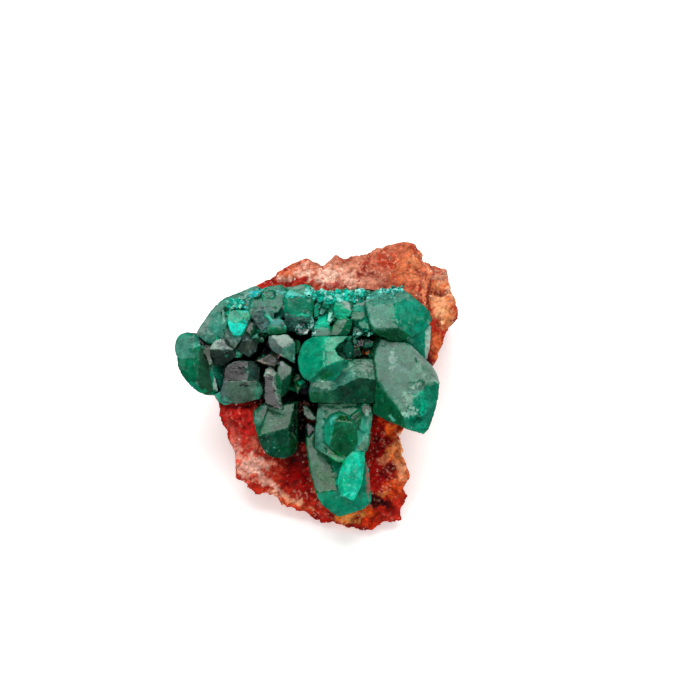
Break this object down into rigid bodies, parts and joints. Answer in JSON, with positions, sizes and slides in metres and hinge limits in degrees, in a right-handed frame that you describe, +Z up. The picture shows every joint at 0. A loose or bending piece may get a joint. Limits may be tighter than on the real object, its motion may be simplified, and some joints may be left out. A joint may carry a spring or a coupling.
{
  "type": "mineral specimen",
  "caption": "Cluster of dark green dioptase crystals standing close together on the sloping face of a lump of rust-red and orange rock with a flat base.",
  "frame": {"origin": "middle of the bounding box, side to side and front to back, on the flat base the specimen rests on", "axes": "+X to the right as seen from the crystal side, +Y from the crystal side to the back, +Z up from the flat base; the crystal-bearing face tilts 30 degrees, so it looks up and towards -Y"},
  "size_m": [0.0396, 0.0382, 0.024],
  "materials": {
    "rock": null,
    "dioptase": "clear to translucent dark green crystal, glossy faces with fine growth lines and frosted patches"
  },
  "bodies": {
    "root": {"matrix": "rock", "centre_crystals": "dioptase", "top_right_crystals": "dioptase", "right_crystal": "dioptase", "long_crystal": "dioptase", "stub_crystals": "dioptase", "middle_crystals": "dioptase", "left_block": "dioptase", "tip_crystals": "dioptase", "shoulder_crystals": "dioptase"}
  },
  "joints": []
}
